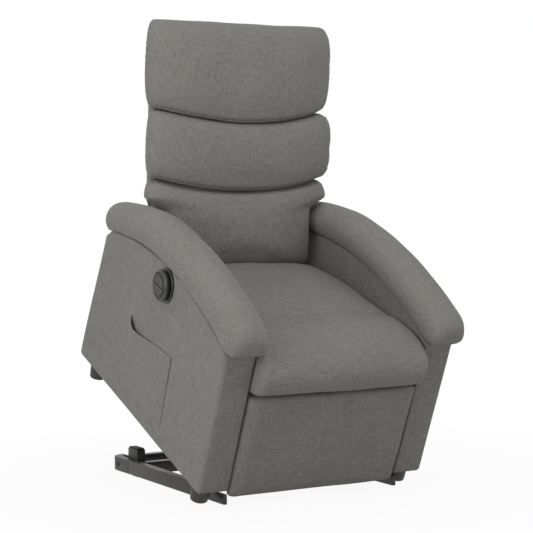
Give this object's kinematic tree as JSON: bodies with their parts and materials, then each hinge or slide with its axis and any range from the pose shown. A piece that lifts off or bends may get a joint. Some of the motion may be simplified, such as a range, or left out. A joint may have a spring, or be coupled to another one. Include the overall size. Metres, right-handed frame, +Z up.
{
  "type": "lift recliner chair",
  "caption": "Powered lift recliner armchair: reclining back of stacked cushions, padded arms, hinged footrest and a floor frame whose actuator tilts the seat forwards to help someone stand.",
  "frame": {"origin": "On the floor, under the middle of the raised chair: X in the plane of symmetry of the frame, Y halfway between the foremost and rearmost points.", "axes": "+Z up, -Y the way the sitter faces, +X towards the sitter's left. The seat is drawn raised and tilted forwards, the backrest upright and the footrest closed."},
  "size_m": [0.7665, 1.04, 1.3655],
  "materials": {
    "fabric": "woven polyester, linen look, matt",
    "plywood": "unfinished plywood",
    "frame_brown": "powder coat, satin",
    "plastic_brown": "moulded, fine grain",
    "steel_black": "powder coat, satin black",
    "rubber": "matt",
    "zinc": "zinc plated",
    "spring_steel": "drawn wire",
    "plastic_black": "moulded, fine grain",
    "plastic_charcoal": "moulded, satin",
    "motor_plastic": "moulded, fine grain",
    "tube_aluminium": "drawn",
    "rod_chrome": "polished"
  },
  "bodies": {
    "base": {"base_rail_right": "frame_brown", "base_rail_left": "frame_brown", "base_corners": "plastic_brown", "base_crossbars": "steel_black", "hinge_brackets": "steel_black", "rest_posts": "steel_black", "post_pads": "rubber", "floor_pads": "rubber", "corner_bolts": "zinc", "motor_clevis": "steel_black", "motor_pin": "zinc"},
    "chair": {"side_plate_right": "steel_black", "side_plate_left": "steel_black", "hinge_pins": "zinc", "seat_rail_right": "plywood", "seat_rail_left": "plywood", "seat_crossrails": "plywood", "nose_board": "plywood", "seat_springs": "spring_steel", "drive_crossbar": "steel_black", "rod_pin": "zinc", "rear_crosstube": "steel_black", "recline_brackets": "steel_black", "recline_pins": "zinc", "rear_panel": "fabric", "seat_cushion": "fabric", "arm_panel_right": "fabric", "arm_panel_left": "fabric", "arm_roll_right": "fabric", "arm_roll_left": "fabric", "side_pocket": "fabric", "control_plate": "plastic_black", "control_puck": "plastic_charcoal", "feet": "plastic_brown"},
    "backrest": {"back_rails": "plywood", "back_crossrails": "plywood", "back_brackets": "steel_black", "back_springs": "spring_steel", "back_cover": "fabric", "lumbar_cushion": "fabric", "middle_cushion": "fabric", "head_cushion": "fabric"},
    "rear_linkage": {"rear_links": "steel_black", "link_crosstube": "steel_black", "link_pins": "zinc"},
    "front_linkage": {"front_links": "steel_black", "panel_pins": "zinc"},
    "footrest": {"footrest_brackets": "steel_black", "footrest_board": "plywood", "footrest_pad": "fabric"},
    "lift_motor": {"motor_housing": "motor_plastic", "motor_can": "motor_plastic", "lift_tube": "tube_aluminium"},
    "rod": {"lift_rod": "rod_chrome"},
    "button_up": {"button_up": "plastic_black"},
    "button_down": {"button_down": "plastic_black"}
  },
  "joints": [
    {"name": "lift_hinge", "type": "hinge", "parent": "base", "child": "chair", "pos_m": [0, -0.27, 0.11], "axis": [1, 0, 0], "range_deg": [-22, 0]},
    {"name": "motor_pivot", "type": "hinge", "parent": "base", "child": "lift_motor", "pos_m": [0, 0.295, 0.08], "axis": [1, 0, 0], "range_deg": [0, 1.72]},
    {"name": "rod_slide", "type": "slide", "parent": "lift_motor", "child": "rod", "axis": [0, -0.9344, 0.3563], "range_m": [-0.06499, 0]},
    {"name": "backrest_recline", "type": "hinge", "parent": "chair", "child": "backrest", "pos_m": [0, 0.22867, 0.62425], "axis": [-1, 0, 0], "range_deg": [0, 45]},
    {"name": "footrest_open", "type": "hinge", "parent": "chair", "child": "rear_linkage", "pos_m": [0, -0.24584, 0.10358], "axis": [1, 0, 0], "range_deg": [0, 60]},
    {"name": "footrest_knee", "type": "hinge", "parent": "rear_linkage", "child": "front_linkage", "pos_m": [0, -0.33125, 0.31498], "axis": [1, 0, 0], "range_deg": [-180.1, 0]},
    {"name": "footrest_ankle", "type": "hinge", "parent": "front_linkage", "child": "footrest", "pos_m": [0, -0.24771, 0.10822], "axis": [1, 0, 0], "range_deg": [0, 30.1]},
    {"name": "button_up_press", "type": "slide", "parent": "chair", "child": "button_up", "axis": [1, 0, 0], "range_m": [0, 0.002], "stiffness_N_per_m": 600},
    {"name": "button_down_press", "type": "slide", "parent": "chair", "child": "button_down", "axis": [1, 0, 0], "range_m": [0, 0.002], "stiffness_N_per_m": 600}
  ],
  "couplings": [
    {"joint": "motor_pivot", "follows": "lift_hinge", "ratio": -0.075749},
    {"joint": "rod_slide", "follows": "lift_hinge", "m_per_rad": 0.16796},
    {"joint": "footrest_knee", "follows": "footrest_open", "ratio": -3},
    {"joint": "footrest_ankle", "follows": "footrest_open", "ratio": 0.5}
  ]
}
